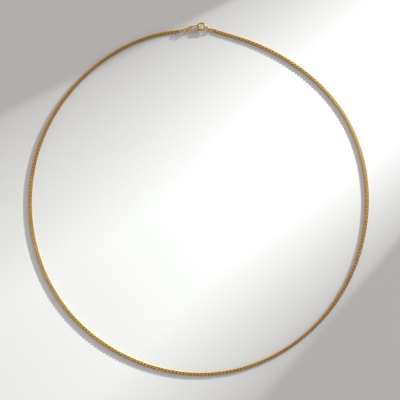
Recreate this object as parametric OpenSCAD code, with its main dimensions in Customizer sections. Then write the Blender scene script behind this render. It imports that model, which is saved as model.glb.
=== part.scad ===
// Curb chain necklace, fastened and laid flat in one open loop.
// All sizes are in millimetres. The surface that it lies on is z = 0, the origin
// is under the middle of the whole piece, and the clasp is at the +Y side.

/* [Loop] */
// Mean radius of the line that the chain lies along
loop_r = 95.45; // [60:0.05:150]
// How far the loop's slow bends are laid in or out, 1 for the full bends below
bend_share = 1; // [0:0.1:1.5]
// How much further out the chain runs where it reaches the clasp's right side
lift = 1.3; // [0:0.1:3]

/* [Chain] */
// Width of the chain across its links
chain_w = 2.15; // [1.6:0.05:3]
// Thickness of the chain between its two filed faces
chain_t = 1.1; // [0.9:0.05:1.6]
// Wire of the oval eye at each end of the chain
eye_wire = 0.44; // [0.36:0.02:0.48]
// Length of the oval eye over its wire
eye_l = 2.5; // [2.44:0.02:2.56]
// Width of the oval eye over its wire
eye_w = 2; // [1.9:0.05:2.1]
// How steeply the two end eyes rise off the surface
eye_rise = 14; // [12:1:16]

/* [Jump rings] */
// Wire of the oval rings
ring_wire = 0.6; // [0.4:0.02:0.62]
// Wire of the round ring in the middle of the run
round_ring_wire = 0.7; // [0.5:0.02:0.72]
// Wire of the small ring that joins the clasp's eye to the chain
small_ring_wire = 0.5; // [0.36:0.02:0.52]

/* [Spring ring clasp] */
// Radius of the clasp to the middle of its tube
clasp_r = 1.93; // [1.91:0.01:1.95]
// Radius of the tube
tube_r = 0.6; // [0.56:0.01:0.61]
// Radius of the bore that the bolt slides in
bore_r = 0.36; // [0.34:0.01:0.38]
// Radius of the bolt
bolt_r = 0.3; // [0.24:0.01:0.3]
// Travel of the bolt, as an angle about the middle of the clasp
travel = 50; // [46:1:52]
// Wire of the soldered eye
clasp_eye_wire = 0.44; // [0.36:0.02:0.46]
// Radius of the soldered eye to the middle of its wire
clasp_eye_r = 0.74; // [0.72:0.01:0.76]
// Radius of the thumb knob's ball
knob_r = 0.3; // [0.24:0.01:0.32]

/* [Hidden] */
$fn = 48;

gold = [0.80, 0.62, 0.32];
gold_light = [0.88, 0.72, 0.42];

// Middle of the loop, seen from the middle of the whole piece
loop_c = [-0.19, -1.94];

// Slow bends of the hand-laid loop
// [bends in one turn, depth in mm, direction of an outward bend in degrees]
BENDS = [
    [2, 0.72, -80],
    [3, 0.29, 6],
    [4, 0.47, 19],
    [5, 0.19, 26],
    [6, 0.20, -25]
];

// Where the chain stops on a plain circle, left and right of the loop's middle,
// and the same two places as directions from it
left_stop = -11.38;
right_stop = 6.93;
left_end = 90 + asin(-left_stop / loop_r);
right_end = 90 - asin(right_stop / loop_r) + 360;
// Stretch, in degrees, over which the chain swings out to the clasp
lift_span = 10;
// Half the step, in degrees, between the two points that give the line's heading
heading_step = 0.5;

// The line of the chain at one direction from the middle of the loop
function bend_sum(a, i = 0) =
    i == len(BENDS) ? 0 : BENDS[i][1] * cos(BENDS[i][0] * (a - BENDS[i][2])) + bend_sum(a, i + 1);
function lift_at(a) =
    let (before = right_end - a)
    before < lift_span ? lift * pow(1 - before / lift_span, 2) : 0;
function line_r(a) = loop_r + bend_share * bend_sum(a) + lift_at(a);
function line_at(a) = [loop_c.x + line_r(a) * cos(a), loop_c.y + line_r(a) * sin(a)];
function heading(a) =
    let (d = line_at(a + heading_step) - line_at(a - heading_step))
    atan2(d.y, d.x);

// Section of the chain: flat filed faces and rounded flanks
// [share of half the width, share of half the thickness]
SECTION = [
    [1, 0.42], [0.6, 1], [-0.6, 1], [-1, 0.42],
    [-1, -0.42], [-0.6, -1], [0.6, -1], [1, -0.42]
];
sides = len(SECTION);
// Sections along the run, one at each end and the rest evenly between them
stations = 79;

// How far the end eye's near wire is held inside the chain, and the eye's roll
eye_bite = 0.9;
eye_roll = 35;

// Jump rings, in their order from the chain's left end to the clasp, then the one
// between the clasp's eye and the chain. Places are from the middle of the clasp.
// [x, y, height of the middle, length, width, wire, turn, rise, roll]
RINGS = [
    [-11.16, -2.26, 1.12, 4.0, 2.6, ring_wire, 11, 3, -50],
    [-8.47, -1.72, 1.21, 4.1, 2.6, ring_wire, 10, 3, 58],
    [-6.30, -0.85, 1.58, 3.8, 3.8, round_ring_wire, 8, 28, -46],
    [-3.36, -0.68, 1.48, 6.2, 3.6, ring_wire, 7, 0, 49],
    [3.98, -1.16, 1.35, 2.74, 2.74, small_ring_wire, -16, 8, 77]
];

// The clasp: the middle of its ring, and how steeply it rises towards its eye
clasp_c = [loop_c.x + 1.72, loop_c.y + loop_r + 3.33, 1.62];
clasp_rise = 3;

// Directions round the clasp, in degrees about its middle: the opening's two
// edges, the knob, the bolt's inner end and the soldered eye
gap_from = 178;
gap_to = 218;
knob_at = 240;
bolt_tail = 262;
clasp_eye_at = 345;
// How far the bolt's tip reaches into the tube, and the free bore past both ends
tip_bite = 9;
tip_room = 3;
bore_room = 6;
// Overlap of a bore past the face that it opens
cut_past = 1;

// How far the eye's wire sinks into the tube where the two are soldered
eye_sink = 0.07;
// Clearances of the knob over the tube and of its neck in the slot
knob_room = 0.08;
slot_play = 0.04;
neck_r = 0.12;

clasp_eye_out = clasp_r + tube_r + clasp_eye_r - eye_sink;
knob_out = clasp_r + tube_r + knob_room + knob_r;
slot_play_deg = (neck_r + slot_play) / clasp_r * 180 / PI;
tip_deg = asin(bolt_r / clasp_r);
tip_at = gap_from - tip_bite + tip_deg;
bore_end = bolt_tail + travel + bore_room;

// Part of a round wire ring lying flat, from one direction through an angle
module wire_arc(mean_r, wire_r, from, through) {
    rotate_extrude(angle = through, start = from)
        translate([mean_r, 0])
            circle(r = wire_r);
}

module wire_ring(mean_r, wire_r) {
    rotate_extrude()
        translate([mean_r, 0])
            circle(r = wire_r);
}

// A ring lying flat and long along X: two half rings and two straight runs
module oval_ring(length, width, wire) {
    bend_r = (width - wire) / 2;
    straight = length - width;
    if (length == width) {
        wire_ring(bend_r, wire / 2);
    } else {
        for (side = [0, 180]) {
            rotate([0, 0, side]) {
                translate([straight / 2, 0, 0])
                    wire_arc(bend_r, wire / 2, -90, 180);
                translate([-straight / 2, bend_r, 0])
                    rotate([0, 90, 0])
                        cylinder(r = wire / 2, h = straight);
            }
        }
    }
}

// Everything inside lies in the clasp's own flat frame, which is tipped up
// towards the soldered eye
module at_clasp() {
    translate(clasp_c)
        rotate([0, 0, clasp_eye_at])
            rotate([0, -clasp_rise, 0])
                rotate([0, 0, -clasp_eye_at])
                    children();
}

// The tube that stands for the run of links, one ring of corners at each station
module chain_run() {
    step = (right_end - left_end) / (stations - 1);
    corners = [
        for (i = [0 : stations - 1])
            let (a = left_end + step * i, p = line_at(a), h = heading(a))
            for (s = SECTION)
                [
                    p.x + sin(h) * s.x * chain_w / 2,
                    p.y - cos(h) * s.x * chain_w / 2,
                    chain_t / 2 * (1 + s.y)
                ]
    ];
    flanks = [
        for (i = [0 : stations - 2])
            for (k = [0 : sides - 1])
                let (n = (k + 1) % sides, a = i * sides, b = a + sides)
                [a + k, b + k, b + n, a + n]
    ];
    first_face = [for (k = [0 : sides - 1]) k];
    last_face = [for (k = [sides - 1 : -1 : 0]) (stations - 1) * sides + k];
    polyhedron(points = corners, faces = concat(flanks, [first_face, last_face]), convexity = 6);
}

// The eye that ends the chain, rolled as a curb link is and rising away from it
module end_eye(a, turn) {
    p = line_at(a);
    translate([p.x, p.y, chain_t / 2])
        rotate([0, 0, heading(a) + turn])
            translate([-eye_bite, 0, 0])
                rotate([0, -eye_rise, 0])
                    translate([(eye_l - eye_wire) / 2, 0, 0])
                        rotate([eye_roll, 0, 0])
                            oval_ring(eye_l, eye_w, eye_wire);
}

module chain() {
    color(gold)
        union() {
            chain_run();
            end_eye(left_end, 180);
            end_eye(right_end, 0);
        }
}

module jump_ring(i) {
    r = RINGS[i];
    color(gold_light)
        translate([clasp_c.x + r[0], clasp_c.y + r[1], r[2]])
            rotate([0, 0, r[6]])
                rotate([0, -r[7], 0])
                    rotate([r[8], 0, 0])
                        oval_ring(r[3], r[4], r[5]);
}

module spring_ring() {
    color(gold_light)
        at_clasp()
            difference() {
                union() {
                    wire_arc(clasp_r, tube_r, gap_to, 360 - gap_to + gap_from);
                    rotate([0, 0, clasp_eye_at])
                        translate([clasp_eye_out, 0, 0])
                            wire_ring(clasp_eye_r, clasp_eye_wire / 2);
                }
                wire_arc(clasp_r, bore_r, gap_to - cut_past, bore_end - gap_to + cut_past);
                wire_arc(clasp_r, bore_r, gap_from - tip_bite - tip_room, tip_bite + tip_room + cut_past);
                rotate_extrude(angle = travel + 2 * slot_play_deg, start = knob_at - slot_play_deg)
                    translate([clasp_r + bore_r / 2, -neck_r - slot_play])
                        square([tube_r, 2 * (neck_r + slot_play)]);
            }
}

module trigger() {
    color(gold)
        at_clasp()
            union() {
                wire_arc(clasp_r, bolt_r, tip_at, bolt_tail - tip_at);
                rotate([0, 0, tip_at])
                    translate([clasp_r, 0, 0])
                        sphere(r = bolt_r);
                rotate([0, 0, knob_at])
                    translate([clasp_r, 0, 0])
                        rotate([0, 90, 0])
                            cylinder(r = neck_r, h = knob_out - clasp_r);
                rotate([0, 0, knob_at])
                    translate([knob_out, 0, 0])
                        sphere(r = knob_r);
            }
}

chain();
jump_ring(0);  // jump_ring_1
jump_ring(1);  // jump_ring_2
jump_ring(2);  // jump_ring_3
jump_ring(3);  // jump_ring_4
spring_ring();
trigger();
jump_ring(4);  // jump_ring_5
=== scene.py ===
# %% [markdown]
# # A curb chain necklace, laid flat
#
# The necklace is one closed loop of flat curb links in yellow gold. Four jump
# rings and a spring ring clasp close it at the top, and a fifth small ring
# joins the clasp's eye to the chain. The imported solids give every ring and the
# clasp their exact shape. What they leave to this script is the run of links,
# which is only a flat tube there, and all of the finishes.

# %% Start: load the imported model
import math

import bpy
from mathutils import Matrix, Vector


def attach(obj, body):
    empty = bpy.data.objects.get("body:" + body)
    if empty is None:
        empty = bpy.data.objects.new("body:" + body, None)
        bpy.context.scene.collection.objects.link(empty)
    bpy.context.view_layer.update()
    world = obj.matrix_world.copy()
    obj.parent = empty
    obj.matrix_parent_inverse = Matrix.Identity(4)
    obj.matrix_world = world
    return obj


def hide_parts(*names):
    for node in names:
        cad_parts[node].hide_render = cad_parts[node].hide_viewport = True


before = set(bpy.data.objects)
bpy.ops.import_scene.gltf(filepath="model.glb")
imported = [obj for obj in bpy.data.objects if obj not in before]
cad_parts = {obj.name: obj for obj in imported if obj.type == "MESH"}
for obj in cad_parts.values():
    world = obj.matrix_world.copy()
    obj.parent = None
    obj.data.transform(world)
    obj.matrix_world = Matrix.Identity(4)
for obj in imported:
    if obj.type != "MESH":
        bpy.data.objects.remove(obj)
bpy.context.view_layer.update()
scene = bpy.context.scene
MM = 0.001
print("nodes:", ", ".join(sorted(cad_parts)))

# %% [markdown]
# ## The camera
#
# The picture was taken from straight above, with the clasp at the far side. A
# long lens from a good distance keeps the loop round, because a wide lens close
# by would lean the rings near the edge outwards. The view is set by how many
# millimetres of table it shows from side to side.

# %% Camera straight above the loop
VIEW_WIDE = 224.9 * MM
VIEW_MIDDLE = Vector((0.63, -0.48, 0.5)) * MM
LENS = 100.0
SENSOR = 36.0

camera_data = bpy.data.cameras.new("camera")
camera_data.lens = LENS
camera_data.sensor_width = SENSOR
camera_data.clip_start = 0.01
camera_data.clip_end = 20
camera = bpy.data.objects.new("camera", camera_data)
camera.location = VIEW_MIDDLE + Vector((0, 0, VIEW_WIDE * LENS / SENSOR))
scene.collection.objects.link(camera)
scene.camera = camera
print("camera height in mm:", round(camera.location.z / MM))

# %% [markdown]
# ## A small language for node trees
#
# A node tree is a sum of small steps, so it reads best as a sum. `Wire` wraps
# the output of one node. Adding or multiplying two wires adds a Math node, so
# `1 - wear` works as it does with numbers. `Tree.add` makes any other node: it
# takes the node's type, then its settings, and then what goes into its sockets.
# The same class serves materials and Geometry Nodes.

# %% Helpers that build node trees
class Wire:
    """The output of one node, used in sums like a number."""

    def __init__(self, tree, socket):
        self.tree = tree
        self.socket = socket

    def math(self, operation, first, second=0.0):
        return self.tree.add("ShaderNodeMath", {"operation": operation}, [first, second])

    def __add__(self, other):
        return self.math("ADD", self, other)

    def __radd__(self, other):
        return self.math("ADD", other, self)

    def __sub__(self, other):
        return self.math("SUBTRACT", self, other)

    def __rsub__(self, other):
        return self.math("SUBTRACT", other, self)

    def __mul__(self, other):
        return self.math("MULTIPLY", self, other)

    def __rmul__(self, other):
        return self.math("MULTIPLY", other, self)

    def __gt__(self, other):
        return self.math("GREATER_THAN", self, other)

    def high(self, other):
        return self.math("MAXIMUM", self, other)

    def size(self):
        return self.math("ABSOLUTE", self)


class Tree:
    """Adds nodes to one node tree and joins them."""

    def __init__(self, node_tree):
        self.nodes = node_tree.nodes
        self.links = node_tree.links

    def fill(self, socket, value):
        if isinstance(value, Wire):
            self.links.new(value.socket, socket)
        else:
            socket.default_value = value

    def add(self, kind, settings=None, values=(), out=0):
        """values is a list in the order of the sockets, or a table by socket name or number."""
        node = self.nodes.new(kind)
        for name, value in (settings or {}).items():
            if name == "stops":
                ramp = node.color_ramp
                while len(ramp.elements) < len(value):
                    ramp.elements.new(1)
                for element, (place, colour) in zip(ramp.elements, value):
                    element.position = place
                    element.color = colour
            else:
                setattr(node, name, value)
        pairs = values.items() if isinstance(values, dict) else enumerate(values)
        for key, value in pairs:
            self.fill(node.inputs[key], value)
        if out is None or not node.outputs:
            return node
        return Wire(self, node.outputs[out])


def empty_material(name):
    """A new material without nodes, and the tree that fills it."""
    material = bpy.data.materials.new(name)
    material.use_nodes = True
    material.node_tree.nodes.clear()
    return material, Tree(material.node_tree)


# %% [markdown]
# ## Gold
#
# Polished 14 carat gold has no colour of its own beside its reflections: a
# metal's base colour tints them. What makes it look real is that the polish is
# never perfect. Fine scratches, faint waves from the polishing mop and a breath
# of oxide where nothing rubs all change from place to place. They are far
# smaller than a link, so the noise is scaled in fractions of a millimetre and
# feeds only the colour, the roughness and a shallow bump.
#
# Noise stays near the middle of its range, so each use picks out a part of it
# and spreads that part over the whole change that is wanted.

# %% Values that every gold finish shares
TONE_SPREAD = (0.35, 0.68)
HAIRLINE_SPREAD = (0.42, 0.72)
HAIRLINE_SHARE = 0.3
# turn of each set of hairlines, in radians, and how far it is moved along the noise
HAIRLINES = ((0.5, 0.0), (-0.9, 3.7))
HAIRLINE_TILT = (0.3, 0.5)
HAIRLINE_DRAWN_OUT = 0.12
WAVE_SIZE = 0.5 * MM
BUMP_DEPTH = 0.004 * MM
BUMP_STRENGTH = 0.35
# how deep a hairline is beside a wave
HAIRLINE_DEPTH = 0.5
# how much rougher a link's flanks are than its filed faces
FLANK_ROUGHER = 0.28
print("hairlines are drawn out", round(1 / HAIRLINE_DRAWN_OUT, 1), "times")


# %% Function that makes one gold finish
def gold_finish(name, bright, deep, polish, worn, scratch_size, patch_size, painted_shade_share=0.0):
    """One finish for a metal piece.

    bright and deep are the two ends of the colour, and polish and worn those of
    the roughness. scratch_size is the width of the hairlines and patch_size that
    of the slow changes of tone. painted_shade_share paints light and shade on a
    link: its flanks move that share of the way to the deep colour, as painted shade
    between the links, and its filed faces to the bright one, as a painted highlight.
    """
    material, tree = empty_material(name)
    place = tree.add("ShaderNodeTexCoord", out=3)

    def noise(size, detail):
        return tree.add(
            "ShaderNodeTexNoise", None,
            {"Vector": place, "Scale": 1 / size, "Detail": detail, "Roughness": 0.55},
        )

    # slow changes of tone from one part of the piece to the next
    tone = noise(patch_size, 2.0)
    # crossed hairlines: noise drawn out long one way, twice
    scratches = []
    for long_way, shift in HAIRLINES:
        turned = tree.add(
            "ShaderNodeMapping", None,
            {"Vector": place, "Location": (shift, shift, shift),
             "Rotation": (*HAIRLINE_TILT, long_way), "Scale": (HAIRLINE_DRAWN_OUT, 1.0, 1.0)},
        )
        scratches.append(tree.add(
            "ShaderNodeTexNoise", None,
            {"Vector": turned, "Scale": 1 / scratch_size, "Detail": 3.0, "Roughness": 0.6},
        ))
    hairline = scratches[0].high(scratches[1])
    wave = noise(WAVE_SIZE, 1.0)

    mix_factor = tree.add("ShaderNodeMapRange", None, [
        tone * (1 - HAIRLINE_SHARE) + hairline * HAIRLINE_SHARE, *TONE_SPREAD, 0.0, 1.0])
    rough = tree.add("ShaderNodeMapRange", None, [hairline, *HAIRLINE_SPREAD, polish, worn])
    # painted shade and highlight: the flanks are pulled towards the deep colour, the filed faces
    # towards the bright one
    if painted_shade_share:
        filed = tree.add("ShaderNodeAttribute", {"attribute_name": "filed"}, out=2)
        mix_factor = mix_factor * (1 - filed * painted_shade_share) + (1 - filed) * painted_shade_share
        rough = rough + (1 - filed) * FLANK_ROUGHER
    colour = tree.add(
        "ShaderNodeMix", {"data_type": "RGBA"},
        {0: mix_factor, 6: (*bright, 1.0), 7: (*deep, 1.0)}, out=2,
    )
    bump = tree.add(
        "ShaderNodeBump", None,
        {"Strength": BUMP_STRENGTH, "Distance": BUMP_DEPTH,
         "Height": hairline * HAIRLINE_DEPTH + wave},
    )
    shader = tree.add(
        "ShaderNodeBsdfPrincipled", None,
        {"Base Color": colour, "Metallic": 1.0, "Roughness": rough, "Normal": bump},
    )
    tree.add("ShaderNodeOutputMaterial", None, {"Surface": shader})
    print("finish:", name)
    return material


# %% [markdown]
# ## Four finishes, one gold
#
# The chain, the rings, the clasp's tube and its bolt come from different
# makers' benches. Jump rings are drawn wire with a little grain, and the clasp
# is stamped tube with the smoothest polish. Links are filed flat and barrelled.
# Their filed faces get a painted highlight, a brighter gold, and their flanks
# get painted shade, a deeper gold, where they lean on one another; the flanks
# are also rougher. One function with a few numbers keeps all four one family.

# %% The four finishes
# the links' flanks carry painted shade and their filed faces a painted highlight
link_gold = gold_finish(
    "link_gold", bright=(0.86, 0.585, 0.225), deep=(0.585, 0.385, 0.145),
    polish=0.34, worn=0.48, scratch_size=0.05 * MM, patch_size=2.2 * MM, painted_shade_share=0.6)
wire_gold = gold_finish(
    "wire_gold", bright=(0.98, 0.70, 0.31), deep=(0.36, 0.19, 0.035),
    polish=0.14, worn=0.26, scratch_size=0.04 * MM, patch_size=1.1 * MM)
tube_gold = gold_finish(
    "tube_gold", bright=(0.98, 0.75, 0.37), deep=(0.44, 0.25, 0.06),
    polish=0.16, worn=0.28, scratch_size=0.06 * MM, patch_size=1.1 * MM)
bolt_gold = gold_finish(
    "bolt_gold", bright=(0.84, 0.58, 0.23), deep=(0.38, 0.23, 0.07),
    polish=0.18, worn=0.30, scratch_size=0.05 * MM, patch_size=1.1 * MM)

# %% [markdown]
# ## The line that the chain lies along
#
# Nobody lays a chain in a perfect circle. The line is a circle with five slow
# bends added to its radius, and a short stretch that swings out to meet the
# clasp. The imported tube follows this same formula, so the links fall exactly
# where the tube is.

# %% Line of the chain, in millimetres
LOOP_R = 95.45
LOOP_MIDDLE = Vector((-0.19, -1.94))
# how far out the chain swings at the clasp's right side, and over how many degrees
LIFT = 1.3
LIFT_SPAN = 10
# how far left and right of the loop's middle the chain stops
LEFT_STOP, RIGHT_STOP = 11.38, 6.93
LEFT_END = 90 + math.degrees(math.asin(LEFT_STOP / LOOP_R))
RIGHT_END = 450 - math.degrees(math.asin(RIGHT_STOP / LOOP_R))
# half the step, in degrees, between the two points that give the line's heading
HEADING_STEP = 0.5
CHAIN_THICK = 1.1
# bends in one turn, depth in mm, direction of an outward bend in degrees
BENDS = ((2, 0.72, -80), (3, 0.29, 6), (4, 0.47, 19), (5, 0.19, 26), (6, 0.20, -25))


def line_at(direction):
    """The point of the line at one direction, in degrees, from the loop's middle."""
    radius = LOOP_R + sum(
        depth * math.cos(math.radians(count * (direction - turn))) for count, depth, turn in BENDS)
    before = RIGHT_END - direction
    if before < LIFT_SPAN:
        radius += LIFT * (1 - before / LIFT_SPAN) ** 2
    angle = math.radians(direction)
    return LOOP_MIDDLE + radius * Vector((math.cos(angle), math.sin(angle)))


def heading(direction):
    """Which way the line runs there, in radians."""
    step = line_at(direction + HEADING_STEP) - line_at(direction - HEADING_STEP)
    return math.atan2(step.y, step.x)


# short straight steps, whose lengths are added up to measure along the line
STEPS = 1600
line = [line_at(LEFT_END + (RIGHT_END - LEFT_END) * i / STEPS) for i in range(STEPS + 1)]
run = [0.0]
for before, after in zip(line, line[1:]):
    run.append(run[-1] + (after - before).length)
line_length = run[-1]
print("line of the chain in mm:", round(line_length, 1))

# %% [markdown]
# ## The run of curb links
#
# A curb link starts as an oval of round wire. Each one is twisted, so that one
# corner rises as the next one sinks, and the chain then lies flat with every
# link leaning on its neighbour. At the end both faces of the chain are filed
# flat. Nearly three hundred links would be slow to model by hand and slow to
# change, so Geometry Nodes make one link from a bent circle, set copies of it
# along the line, and let each one sit a little differently.
#
# The half length and half width are those of the line in the middle of the
# wire. The pitch is the distance from one link to the next. It is shorter than a
# link, because each link reaches through the one before it.

# %% Sizes of a link, in millimetres, and its form
LINK = {
    "Half length": 1.66,
    "Half width": 0.74,
    "Wire radius": 0.34,
    "Filed half height": 0.5,
}
# degrees that each end of a link is twisted out of the flat
TWIST = -70
# how far the points of the circle are moved towards the ends, and how full its corners are
GATHER = -0.3
FULLNESS = 0.7
# degrees that a link may sway from its place
WOBBLE = 0.6
SWAY_SEED = 7
PITCH = 2.03
# from the end of the line to the middle of the last link
END_ROOM = 1.82
LINK_SEGMENTS = 16
WIRE_SIDES = 6
# share of the filed height above which a corner counts as filed
FILED_FROM = 0.9999
link_count = round((line_length - 2 * END_ROOM) / PITCH) + 1
print("links:", link_count)

# %% [markdown]
# ## A path for the links
#
# Geometry Nodes need something to set the copies on. It is a thin path of edges
# along the line, half the chain's thickness above the table. It stops short of
# the line's two ends, because the middle of the last link lies that far in.

# %% Path object: the part of the line that holds the links' middles
def point_at(length):
    """The point at one length along the line."""
    for i in range(STEPS):
        if run[i + 1] >= length:
            share = (length - run[i]) / (run[i + 1] - run[i])
            return line[i].lerp(line[i + 1], share)
    return line[-1]


# more steps than links, so that the path bends as smoothly as the line does
PATH_POINTS = 1200
first, last = END_ROOM, line_length - END_ROOM
path_points = [point_at(first + (last - first) * i / PATH_POINTS) for i in range(PATH_POINTS + 1)]
path_mesh = bpy.data.meshes.new("link_path")
path_mesh.from_pydata(
    [(p.x * MM, p.y * MM, CHAIN_THICK / 2 * MM) for p in path_points],
    [(i, i + 1) for i in range(PATH_POINTS)], [],
)
path = bpy.data.objects.new("link_path", path_mesh)
scene.collection.objects.link(path)
print("room for the links in mm:", round(last - first, 1))

# %% [markdown]
# ## Helpers for Geometry Nodes
#
# A node group is a recipe with named inputs, and a modifier runs it on one
# object. The result is turned into a plain mesh here, and the object that it was
# made from is removed, so that nothing in the finished scene depends on nodes.


# %% Helpers for Geometry Nodes
def split(tree, vector):
    """The three numbers of a vector."""
    node = tree.add("ShaderNodeSeparateXYZ", None, [vector], out=None)
    return [Wire(tree, socket) for socket in node.outputs]


def new_group(name, inputs):
    """A node group with named inputs. inputs is a list of (name, kind, first value)."""
    group = bpy.data.node_groups.new(name, "GeometryNodeTree")
    group.interface.new_socket("Geometry", in_out="INPUT", socket_type="NodeSocketGeometry")
    group.interface.new_socket("Geometry", in_out="OUTPUT", socket_type="NodeSocketGeometry")
    for label, kind, value in inputs:
        socket = group.interface.new_socket(label, in_out="INPUT", socket_type="NodeSocket" + kind)
        if value is not None:
            socket.default_value = value
    tree = Tree(group)
    entry = tree.add("NodeGroupInput", out=None)
    given = {s.name: Wire(tree, s) for s in entry.outputs if s.name}
    return group, tree, given


def run_group(source, group, name, values):
    """Runs a group on an object and gives back the result as a plain mesh object."""
    modifier = source.modifiers.new("nodes", "NODES")
    modifier.node_group = group
    for item in group.interface.items_tree:
        if item.item_type == "SOCKET" and item.in_out == "INPUT" and item.name in values:
            modifier[item.identifier] = values[item.name]
    graph = bpy.context.evaluated_depsgraph_get()
    mesh = bpy.data.meshes.new_from_object(source.evaluated_get(graph), depsgraph=graph)
    source.modifiers.remove(modifier)
    mesh.name = name
    made = bpy.data.objects.new(name, mesh)
    scene.collection.objects.link(made)
    bpy.data.objects.remove(source)
    print(name, "has", len(mesh.polygons), "faces")
    return made


# %% [markdown]
# ## The node group of the links
#
# A circle of points is pulled to an oval and twisted, and a round wire is swept
# along it. The file comes next. Whatever stands above the upper face or below
# the lower one is cut down to it, and the cut is as wide as a round wire is at
# that depth. The faces left by the file get a mark for the finish, and they are
# shaded flat. Last come the copies along the path.

# %% Node group: curb links along a path
group, tree, given = new_group("curb_run", [
    ("Links", "Int", 10),
    ("Half length", "Float", 0.0),
    ("Half width", "Float", 0.0),
    ("Twist", "Float", 0.0),
    ("Gather", "Float", 0.0),
    ("Fullness", "Float", 1.0),
    ("Wire radius", "Float", 0.0),
    ("Filed half height", "Float", 0.0),
    ("Wobble", "Float", 0.0),
    ("Seed", "Int", 0),
    ("Gold", "Material", None),
])
# one link: a circle of points, pulled to an oval and twisted
circle = tree.add("GeometryNodeMeshCircle", {"fill_type": "NONE"},
                  {"Vertices": LINK_SEGMENTS, "Radius": 1.0})
round_x, round_y, _ = split(tree, tree.add("GeometryNodeInputPosition"))
# more of the points go to the link's ends and long sides, and its corners are filled out
angle = round_y.math("ARCTAN2", round_y, round_x) + round_x * round_y * given["Gather"]
along, across = angle.math("COSINE", angle), angle.math("SINE", angle)
across = across.math("POWER", across.size(), given["Fullness"]) * across.math("SIGN", across)
turned = along * given["Twist"]
twisted = tree.add("ShaderNodeCombineXYZ", None, [
    along * given["Half length"],
    across * given["Half width"] * turned.math("COSINE", turned),
    across * given["Half width"] * turned.math("SINE", turned),
])
centre = tree.add("GeometryNodeSetPosition", None, {"Geometry": circle, "Position": twisted})
centre = tree.add("GeometryNodeMeshToCurve", None, [centre])
centre = tree.add("GeometryNodeSetCurveNormal", {"mode": "Z_UP"}, {"Curve": centre})
section = tree.add("GeometryNodeCurvePrimitiveCircle", {"mode": "RADIUS"},
                   {"Resolution": WIRE_SIDES, "Radius": given["Wire radius"]})
centre = tree.add(
    "GeometryNodeStoreNamedAttribute", {"data_type": "FLOAT_VECTOR", "domain": "POINT"},
    {"Geometry": centre, "Name": "core", "Value": tree.add("GeometryNodeInputPosition")})
link = tree.add("GeometryNodeCurveToMesh", None, {"Curve": centre, "Profile Curve": section})
# the file, worked out from how deep each point lies under the flat face
core = tree.add("GeometryNodeInputNamedAttribute", {"data_type": "FLOAT_VECTOR"}, ["core"])
core_x, core_y, core_z = split(tree, core)
x, y, z = split(tree, tree.add("GeometryNodeInputPosition"))
top = given["Filed half height"]
side = z.math("SIGN", z)
over = z.size() > top
depth = top - side * core_z
half_cut = given["Wire radius"] * given["Wire radius"] - depth * depth
half_cut = half_cut.math("SQRT", half_cut.high(0.0))
off_x, off_y = x - core_x, y - core_y
reach = off_x * off_x + off_y * off_y
widen = half_cut.math("DIVIDE", half_cut, reach.math("SQRT", reach)) - 1
filed_place = tree.add("ShaderNodeCombineXYZ", None, [
    x + over * off_x * widen, y + over * off_y * widen, z + over * (side * top - z)])
link = tree.add("GeometryNodeSetPosition", None, {"Geometry": link, "Position": filed_place})
link = tree.add("GeometryNodeRemoveAttribute", None, {"Geometry": link, "Name": "core"})
height = split(tree, tree.add("GeometryNodeInputPosition"))[2]
at_file = height.size() > top * FILED_FROM
filed = tree.add("GeometryNodeFieldOnDomain", {"data_type": "BOOLEAN", "domain": "FACE"}, [at_file])
link = tree.add("GeometryNodeStoreNamedAttribute", {"data_type": "FLOAT", "domain": "FACE"},
                {"Geometry": link, "Name": "filed", "Value": filed})
not_filed = tree.add("FunctionNodeBooleanMath", {"operation": "NOT"}, [filed])
link = tree.add("GeometryNodeSetShadeSmooth", {"domain": "EDGE"},
                {"Geometry": link, "Shade Smooth": not_filed})
# copies along the path
spots = tree.add("GeometryNodeMeshToCurve", None, [given["Geometry"]])
spots = tree.add("GeometryNodeResampleCurve", {"mode": "COUNT"},
                 {"Curve": spots, "Count": given["Links"]})
aim = tree.add("FunctionNodeAlignRotationToVector", {"axis": "X", "pivot_axis": "Z"},
               {"Vector": tree.add("GeometryNodeInputTangent")})
copies = tree.add("GeometryNodeInstanceOnPoints", None,
                  {"Points": spots, "Instance": link, "Rotation": aim})
swing = tree.add("ShaderNodeCombineXYZ", None, [given["Wobble"]] * 3)
back = tree.add("ShaderNodeVectorMath", {"operation": "SCALE"}, {0: swing, "Scale": -1.0})
sway = tree.add("FunctionNodeRandomValue", {"data_type": "FLOAT_VECTOR"},
                {0: back, 1: swing, "Seed": given["Seed"]})
copies = tree.add("GeometryNodeRotateInstances", None,
                  {"Instances": copies, "Rotation": sway, "Local Space": True})
joined = tree.add("GeometryNodeRealizeInstances", None, [copies])
joined = tree.add("GeometryNodeSetMaterial", None, {"Geometry": joined, "Material": given["Gold"]})
tree.add("NodeGroupOutput", None, [joined])
print("group with", len(group.nodes), "nodes")

# %% The links themselves
links = run_group(path, group, "curb_links", {
    **{name: value * MM for name, value in LINK.items()},
    "Twist": math.radians(TWIST), "Gather": GATHER, "Fullness": FULLNESS,
    "Wobble": math.radians(WOBBLE),
    "Links": link_count, "Seed": SWAY_SEED, "Gold": link_gold,
})
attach(links, "necklace")
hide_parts("chain")
link_heights = [v.co.z / MM for v in links.data.vertices]
print("links lie from", round(min(link_heights), 3), "to", round(max(link_heights), 3), "mm")

# %% [markdown]
# ## The two end eyes
#
# The last link at each end hooks into a small oval eye of thinner wire, which
# rises off the table to meet the first jump ring. It is bent from one piece of
# round wire, so a circle swept round a racetrack shape makes it. A function lays
# the points of the racetrack, the same moves as in the solid model put them in
# place, and the node group sweeps the wire along them.

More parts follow.
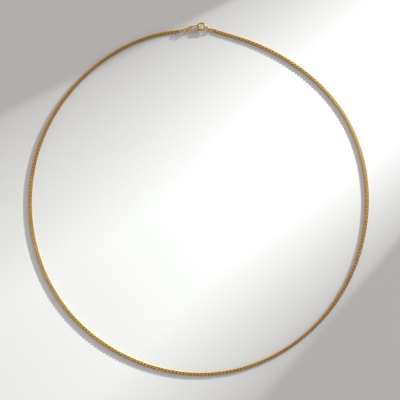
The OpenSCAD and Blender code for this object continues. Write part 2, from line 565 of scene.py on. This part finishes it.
# %% Node group: a ring of round wire
RING_WIRE_SIDES = 20
ring_group, tree, given = new_group("wire_ring", [
    ("Wire radius", "Float", 0.0),
    ("Gold", "Material", None),
])
core = tree.add("GeometryNodeMeshToCurve", None, [given["Geometry"]])
core = tree.add("GeometryNodeSetCurveNormal", {"mode": "MINIMUM_TWIST"}, {"Curve": core})
section = tree.add("GeometryNodeCurvePrimitiveCircle", {"mode": "RADIUS"},
                   {"Resolution": RING_WIRE_SIDES, "Radius": given["Wire radius"]})
ring = tree.add("GeometryNodeCurveToMesh", None, {"Curve": core, "Profile Curve": section})
ring = tree.add("GeometryNodeRealizeInstances", None, [ring])
ring = tree.add("GeometryNodeSetMaterial", None, {"Geometry": ring, "Material": given["Gold"]})
tree.add("NodeGroupOutput", None, [ring])
print("ring group with", len(ring_group.nodes), "nodes")


# %% Helpers that place an eye
def oval_path(length, width, wire, bend_points=20):
    """Points round a flat oval: two half circles joined by straight runs."""
    bend_r = (width - wire) / 2
    straight = (length - width) / 2
    points = []
    for side in (0, 1):
        for i in range(bend_points + 1):
            angle = math.pi * (side + i / bend_points) - math.pi / 2
            shift = straight if side == 0 else -straight
            points.append(Vector((shift + bend_r * math.cos(angle), bend_r * math.sin(angle), 0)))
    return points


def turn(degrees, axis):
    return Matrix.Rotation(math.radians(degrees), 4, axis)


# %% Sizes of the eyes: wire, length and width in millimetres, rise and roll in degrees
EYE_WIRE, EYE_LENGTH, EYE_WIDTH = 0.44, 2.5, 2.0
EYE_RISE, EYE_ROLL = 14, 35
# how far the eye's near wire reaches back past the end of the line
EYE_BITE = 0.9
print("eye opening in mm:", [round(side - 2 * EYE_WIRE, 2) for side in (EYE_LENGTH, EYE_WIDTH)])


# %% The eyes at both ends of the chain
def end_eye(name, direction, flip):
    """One eye at the end of the line in that direction. flip turns it about, in radians."""
    spot = line_at(direction)
    place = (
        Matrix.Translation((spot.x, spot.y, CHAIN_THICK / 2))
        @ Matrix.Rotation(heading(direction) + flip, 4, "Z")
        @ Matrix.Translation((-EYE_BITE, 0, 0))
        @ turn(-EYE_RISE, "Y")
        @ Matrix.Translation(((EYE_LENGTH - EYE_WIRE) / 2, 0, 0))
        @ turn(EYE_ROLL, "X")
    )
    points = [MM * (place @ p) for p in oval_path(EYE_LENGTH, EYE_WIDTH, EYE_WIRE)]
    mesh = bpy.data.meshes.new(name)
    mesh.from_pydata(points, [(i, (i + 1) % len(points)) for i in range(len(points))], [])
    core = bpy.data.objects.new(name + "_core", mesh)
    scene.collection.objects.link(core)
    eye = run_group(core, ring_group, name, {"Wire radius": EYE_WIRE / 2 * MM, "Gold": link_gold})
    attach(eye, "necklace")
    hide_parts("chain")


end_eye("chain_eye_left", LEFT_END, math.pi)
end_eye("chain_eye_right", RIGHT_END, 0)

# %% [markdown]
# ## The rings and the clasp
#
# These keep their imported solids: a jump ring is round wire and the clasp is
# bent tube, and both are exact there already. They only need their finishes,
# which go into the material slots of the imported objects.

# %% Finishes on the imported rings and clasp
CAD_FINISH = {"spring_ring": tube_gold, "trigger": bolt_gold}
for name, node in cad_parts.items():
    if name == "chain":
        continue
    finish = CAD_FINISH.get(name, wire_gold)
    for slot in node.material_slots:
        slot.material = finish
    print(name, "is", finish.name)

# %% [markdown]
# ## The table
#
# The necklace lies on a plain pale sheet. A trace of grain in its roughness
# keeps the sheet from looking like plastic where the low light rakes it.

# %% Pale sheet
SHEET_WIDE = 6
SHEET_GREY = 0.80
GRAINS_PER_METRE = 900.0
GRAIN_SPREAD = (0.3, 0.7)
SHEET_ROUGH = (0.75, 0.9)
sheet_paint, tree = empty_material("pale_sheet")
place = tree.add("ShaderNodeTexCoord", out=3)
grain = tree.add(
    "ShaderNodeTexNoise", None, {"Vector": place, "Scale": GRAINS_PER_METRE, "Detail": 3.0})
rough = tree.add("ShaderNodeMapRange", None, [grain, *GRAIN_SPREAD, *SHEET_ROUGH])
sheet_shader = tree.add("ShaderNodeBsdfPrincipled", None, {
    "Base Color": (SHEET_GREY, SHEET_GREY, SHEET_GREY, 1.0), "Roughness": rough,
    "Specular IOR Level": 0.2})
tree.add("ShaderNodeOutputMaterial", None, {"Surface": sheet_shader})

bpy.ops.mesh.primitive_plane_add(size=SHEET_WIDE)
sheet = bpy.context.object
sheet.name = "table_sheet"
sheet.data.materials.append(sheet_paint)
print("table is", sheet.dimensions.x, "m wide")

# %% [markdown]
# ## The light
#
# One small lamp stands low at the upper right, as a low sun would. It draws the
# toothed shadow of the links beside the chain. A wide lamp would blur the teeth
# away, so this one is only 20 mm across, a metre off.

# %% Low lamp, with its distances in metres
LAMP_TURN = math.radians(37.5)
LAMP_RISE = math.radians(14.5)
LAMP_FAR = 1.0
LAMP_WIDE = 0.020
LAMP_WATTS = 30.5
LAMP_COLOUR = (0.93, 1.0, 0.99)
toward_lamp = Vector((
    math.cos(LAMP_RISE) * math.cos(LAMP_TURN),
    math.cos(LAMP_RISE) * math.sin(LAMP_TURN),
    math.sin(LAMP_RISE),
))
lamp_data = bpy.data.lights.new("low_lamp", "AREA")
lamp_data.shape = "DISK"
lamp_data.size = LAMP_WIDE
lamp_data.energy = LAMP_WATTS
lamp_data.color = LAMP_COLOUR
lamp = bpy.data.objects.new("low_lamp", lamp_data)
lamp.location = toward_lamp * LAMP_FAR
lamp.rotation_euler = toward_lamp.to_track_quat("Z", "Y").to_euler()
scene.collection.objects.link(lamp)
print("lamp stands", round(lamp.location.z / MM), "mm above the table")

# %% [markdown]
# ## The room
#
# All the rest is soft light from the room. Gold shows what it reflects, so the
# room is bright low down, as pale walls are, and dark overhead. The faces of the
# links look straight up, and the dark part gives them their depth. One side of
# the room is brighter than the other, as with a window there, and this gives the
# round wire of the rings and the clasp a light and a dark flank.

# %% Room light
# height of the direction, 0 level and 1 straight up, and how bright the room is there
ROOM_LIGHT = ((0.0, 0.95), (0.3, 1.12), (0.5, 0.84), (0.75, 0.40), (1.0, 0.18))
ROOM_TINT = (1.041, 0.987, 0.959)
# turn of the room's bright side from +X, and the share by which it is brighter there
ROOM_BRIGHT_TURN = math.radians(55)
ROOM_LEAN = 0.65
world = bpy.data.worlds.new("room")
scene.world = world
world.use_nodes = True
world.node_tree.nodes.clear()
tree = Tree(world.node_tree)
look = tree.add("ShaderNodeTexCoord", out=0)
up = Wire(tree, tree.add("ShaderNodeSeparateXYZ", None, [look], out=None).outputs["Z"])
sky = tree.add("ShaderNodeValToRGB", {"stops": [
    (height, tuple(bright * tint for tint in ROOM_TINT) + (1,)) for height, bright in ROOM_LIGHT
]}, [up])
bright_side = (math.cos(ROOM_BRIGHT_TURN), math.sin(ROOM_BRIGHT_TURN), 0.0)
lean = tree.add("ShaderNodeVectorMath", {"operation": "DOT_PRODUCT"}, [look, bright_side], out=1)
background = tree.add("ShaderNodeBackground", None, {"Color": sky, "Strength": 1 + lean * ROOM_LEAN})
tree.add("ShaderNodeOutputWorld", None, {"Surface": background})
scene.view_settings.view_transform = "Standard"
print("room has", len(ROOM_LIGHT), "steps of brightness")

# %% [markdown]
# ## The board in front of the lamp
#
# A broad band of light crosses the table. A board with two slanting edges makes
# it. Behind each edge the light grows at once by a small step, and then slowly
# over a longer reach. So the board is a sheet that lets through a share of the
# light, and the share is worked out from the place on the sheet. Nothing but the
# light sees it.

# %% Board with two slanting edges, with its own sizes in metres
SCRIM_NEAR = 0.24
SCRIM_SIZE = (6.0, 0.6)
STEP_WIDE = 1 * MM
scrim_paint, tree = empty_material("scrim")
place = tree.add("ShaderNodeTexCoord", out=3)
axes = tree.add("ShaderNodeSeparateXYZ", None, [place], out=None)
side, rise = Wire(tree, axes.outputs["X"]), Wire(tree, axes.outputs["Y"])


def lit_share(edge_point, edge_turn, inward, step, reach):
    """How much light passes beside one edge of the board.

    The edge's shadow runs through edge_point on the table, in millimetres, turned
    by edge_turn in degrees. inward is 1 or -1 for the lit side. step is the share
    that passes at once, and the rest grows over reach, in millimetres.
    """
    edge = Vector((math.cos(math.radians(edge_turn)), math.sin(math.radians(edge_turn))))
    normal = Vector((-edge.y, edge.x)) * inward
    beam = Vector((math.cos(LAMP_TURN), math.sin(LAMP_TURN)))
    sideways = Vector((-beam.y, beam.x))
    # the board is nearer the lamp, so its own distances are a little shorter
    shrink = (LAMP_FAR - SCRIM_NEAR) / LAMP_FAR
    from_edge = (
        side * (normal.dot(sideways) / shrink)
        + rise * (-normal.dot(beam) / (math.sin(LAMP_RISE) * shrink))
        - normal.dot(Vector(edge_point) * MM)
    )
    at_once = tree.add("ShaderNodeMapRange", None, [from_edge, 0.0, STEP_WIDE, 0.0, step])
    slowly = tree.add("ShaderNodeMapRange", None, [from_edge, 0.0, reach * MM, 0.0, 1 - step])
    return at_once + slowly


upper = lit_share(edge_point=(-104.6, 44.9), edge_turn=31.8, inward=-1, step=0.22, reach=86)
lower = lit_share(edge_point=(42.0, -100.6), edge_turn=43.6, inward=1, step=0.17, reach=66)
share = upper * lower
white = tree.add("ShaderNodeCombineXYZ", None, [share, share, share])
pass_light = tree.add("ShaderNodeBsdfTransparent", None, {"Color": white})
tree.add("ShaderNodeOutputMaterial", None, {"Surface": pass_light})

bpy.ops.mesh.primitive_plane_add(size=1)
scrim = bpy.context.object
scrim.name = "scrim"
scrim.data.transform(Matrix.Diagonal((*SCRIM_SIZE, 1, 1)))
up_board = Vector((0, 0, 1)) - toward_lamp * toward_lamp.z
up_board.normalize()
side_board = up_board.cross(toward_lamp)
board_turn = Matrix((side_board, up_board, toward_lamp)).transposed().to_4x4()
scrim.matrix_world = Matrix.Translation(toward_lamp * SCRIM_NEAR) @ board_turn
scrim.data.materials.append(scrim_paint)
print("board stands", round(SCRIM_NEAR / MM), "mm from the middle")

# %% [markdown]
# ## The flag under the beam
#
# Between the lamp and the board the table would lie in bare lamp light, which
# would show as a bright patch in a view from low down. A dark flag, which slopes
# from the foot of the board up to the lamp, keeps that light off.

# %% Flag, and both boards hidden from all but the light
FLAG_FAR = 1.0
FLAG_TOP = 0.24
FLAG_HALF_WIDE = 3.0
flag_paint, tree = empty_material("flag")
flag_shader = tree.add("ShaderNodeBsdfPrincipled", None, {
    "Base Color": (0.02, 0.02, 0.02, 1.0), "Roughness": 0.9})
tree.add("ShaderNodeOutputMaterial", None, {"Surface": flag_shader})
on_table = Vector((math.cos(LAMP_TURN), math.sin(LAMP_TURN), 0))
lower_edge = on_table * SCRIM_NEAR
upper_edge = on_table * FLAG_FAR + Vector((0, 0, FLAG_TOP))
half_side = side_board * FLAG_HALF_WIDE
flag_mesh = bpy.data.meshes.new("flag")
flag_mesh.from_pydata([
    lower_edge - half_side, lower_edge + half_side,
    upper_edge + half_side, upper_edge - half_side,
], [], [(0, 1, 2, 3)])
flag_mesh.materials.append(flag_paint)
flag = bpy.data.objects.new("flag", flag_mesh)
scene.collection.objects.link(flag)
for board in (scrim, flag):
    for ray in ("camera", "diffuse", "glossy", "transmission", "volume_scatter"):
        setattr(board, "visible_" + ray, False)
print("flag reaches up to", round(upper_edge.z / MM), "mm")
